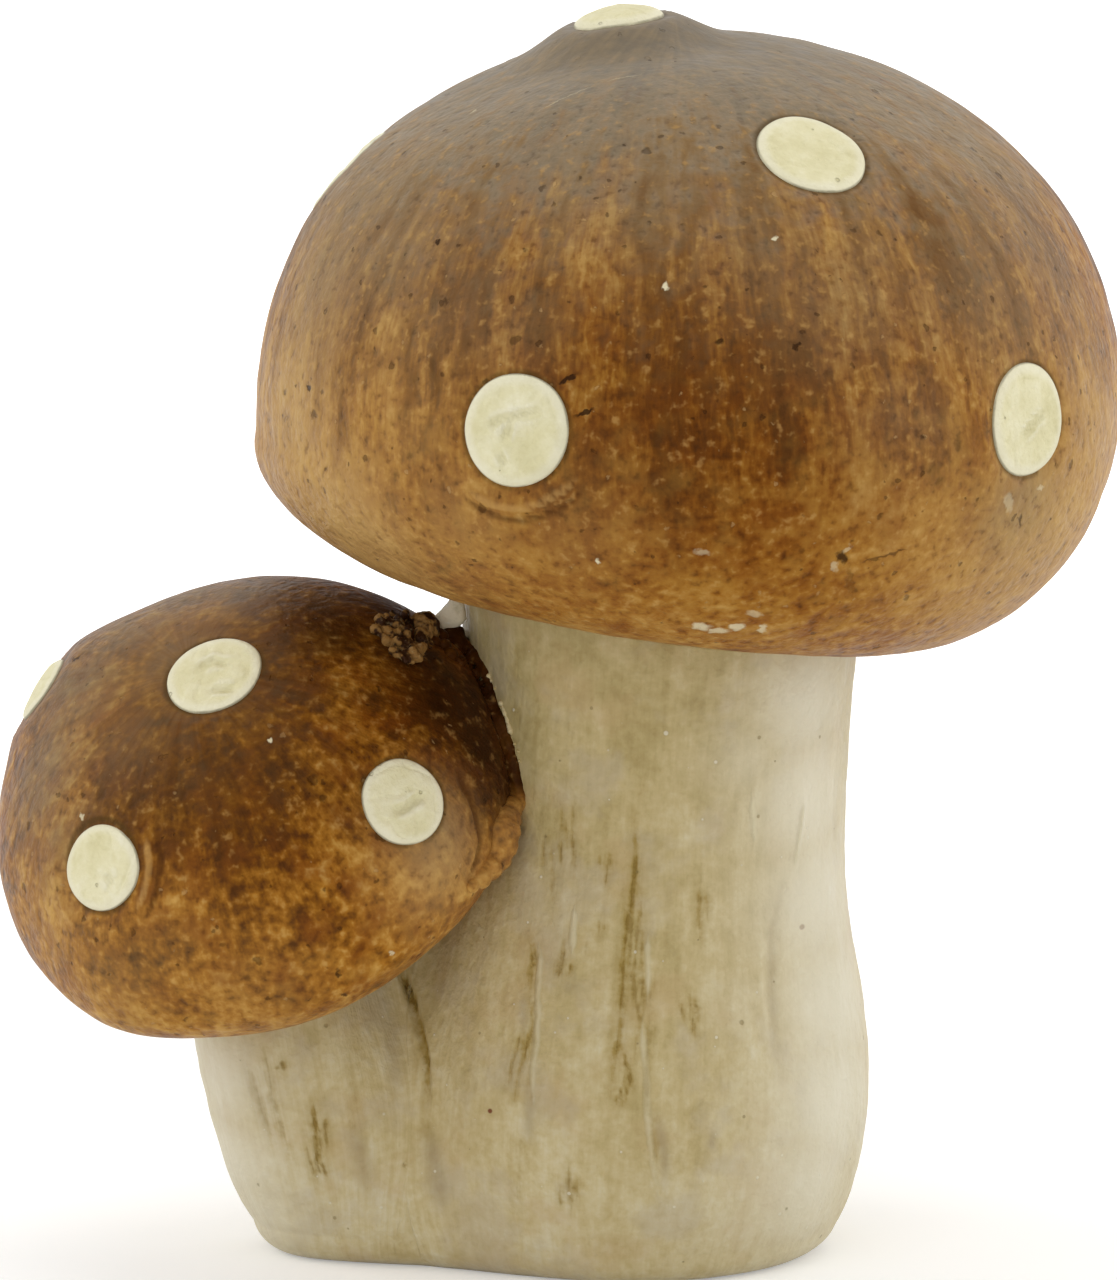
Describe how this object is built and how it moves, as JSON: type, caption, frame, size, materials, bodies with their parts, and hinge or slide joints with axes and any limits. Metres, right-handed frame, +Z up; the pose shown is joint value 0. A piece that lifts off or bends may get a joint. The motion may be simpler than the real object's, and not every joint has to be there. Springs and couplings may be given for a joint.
{
  "type": "ceramic mushroom ornament",
  "caption": "Hollow ceramic ornament of a tall mushroom with a small one leaning out beside it, with brown spotted caps on pale stalks; stands on its flat feet.",
  "frame": {"origin": "centre of the tall stalk's foot, on the surface that the ornament stands on", "axes": "+Z up; the front, from which the small mushroom shows at the left, faces -Y; +X to the viewer's right"},
  "size_m": [0.1063, 0.0818, 0.1193],
  "materials": {
    "cap_brown": "brushed brown stain with a semi-matte glaze",
    "stalk_cream": "cream slip with an olive wash in its scored grooves, matte",
    "spot_cream": "thick cream slip, semi-matte",
    "lute_pale": "smeared pale slip, matte",
    "lump_brown": "dark stained rough clay"
  },
  "bodies": {
    "root": {"cap_seam_lute": "lute_pale", "joint_lump": "lump_brown", "large_cap": "cap_brown", "large_cap_lute": "lute_pale", "large_spot_crown": "spot_cream", "large_spot_lower_1": "spot_cream", "large_spot_lower_2": "spot_cream", "large_spot_lower_3": "spot_cream", "large_spot_lower_4": "spot_cream", "large_spot_upper_1": "spot_cream", "large_spot_upper_2": "spot_cream", "large_spot_upper_3": "spot_cream", "large_stalk": "stalk_cream", "small_cap": "cap_brown", "small_cap_lute": "lute_pale", "small_spot_crown": "spot_cream", "small_spot_ring_1": "spot_cream", "small_spot_ring_2": "spot_cream", "small_spot_ring_3": "spot_cream", "small_spot_ring_4": "spot_cream", "small_stalk": "stalk_cream", "stalk_seam_lute": "lute_pale"}
  },
  "joints": []
}
